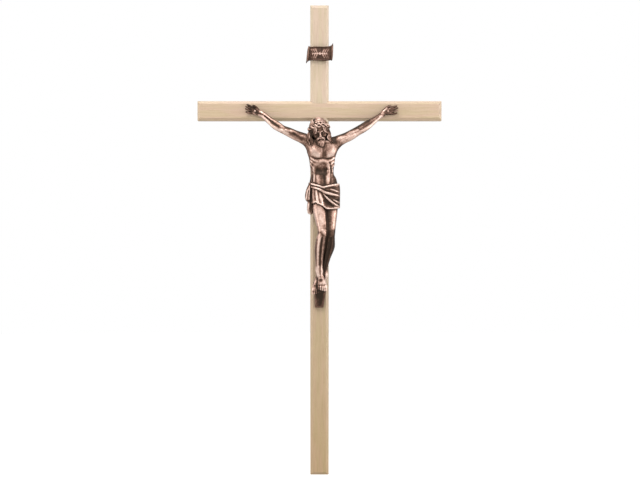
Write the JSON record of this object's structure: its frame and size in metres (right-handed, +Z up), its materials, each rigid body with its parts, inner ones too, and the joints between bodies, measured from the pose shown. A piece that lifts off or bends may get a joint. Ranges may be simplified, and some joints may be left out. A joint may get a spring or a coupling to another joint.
{
  "type": "wooden wall cross",
  "caption": "Slim chamfered wooden wall cross with a half-lap joint, a cast metal figure and scroll nailed to its front, and a swinging ring hanger on its back.",
  "frame": {"origin": "on the wooden back plane, where the centre lines of the two bars cross", "axes": "+Z up along the upright, +X to the viewer's right along the crossbeam, +Y into the wall; the figure faces -Y"},
  "size_m": [0.208, 0.0382, 0.4],
  "materials": {
    "beech": "pale beech with a thin satin varnish, straight grain along each bar",
    "antique_copper": "copper-plated casting, dark in its hollows and polished bright on its high places",
    "hanger_brass": "plain bright brass, slightly dulled"
  },
  "bodies": {
    "cross": {"upright": "beech", "crossbeam": "beech", "figure": "antique_copper", "hand_nail_left": "antique_copper", "hand_nail_right": "antique_copper", "foot_nail": "antique_copper", "scroll": "antique_copper", "hanger_strap": "hanger_brass", "hanger_nail_upper": "hanger_brass", "hanger_nail_lower": "hanger_brass"},
    "ring": {"hanger_ring": "hanger_brass"}
  },
  "joints": [
    {"name": "ring_swing", "type": "hinge", "parent": "cross", "child": "ring", "pos_m": [0, 0.0019, 0.065], "axis": [1, 0, 0], "range_deg": [0, 180]}
  ]
}
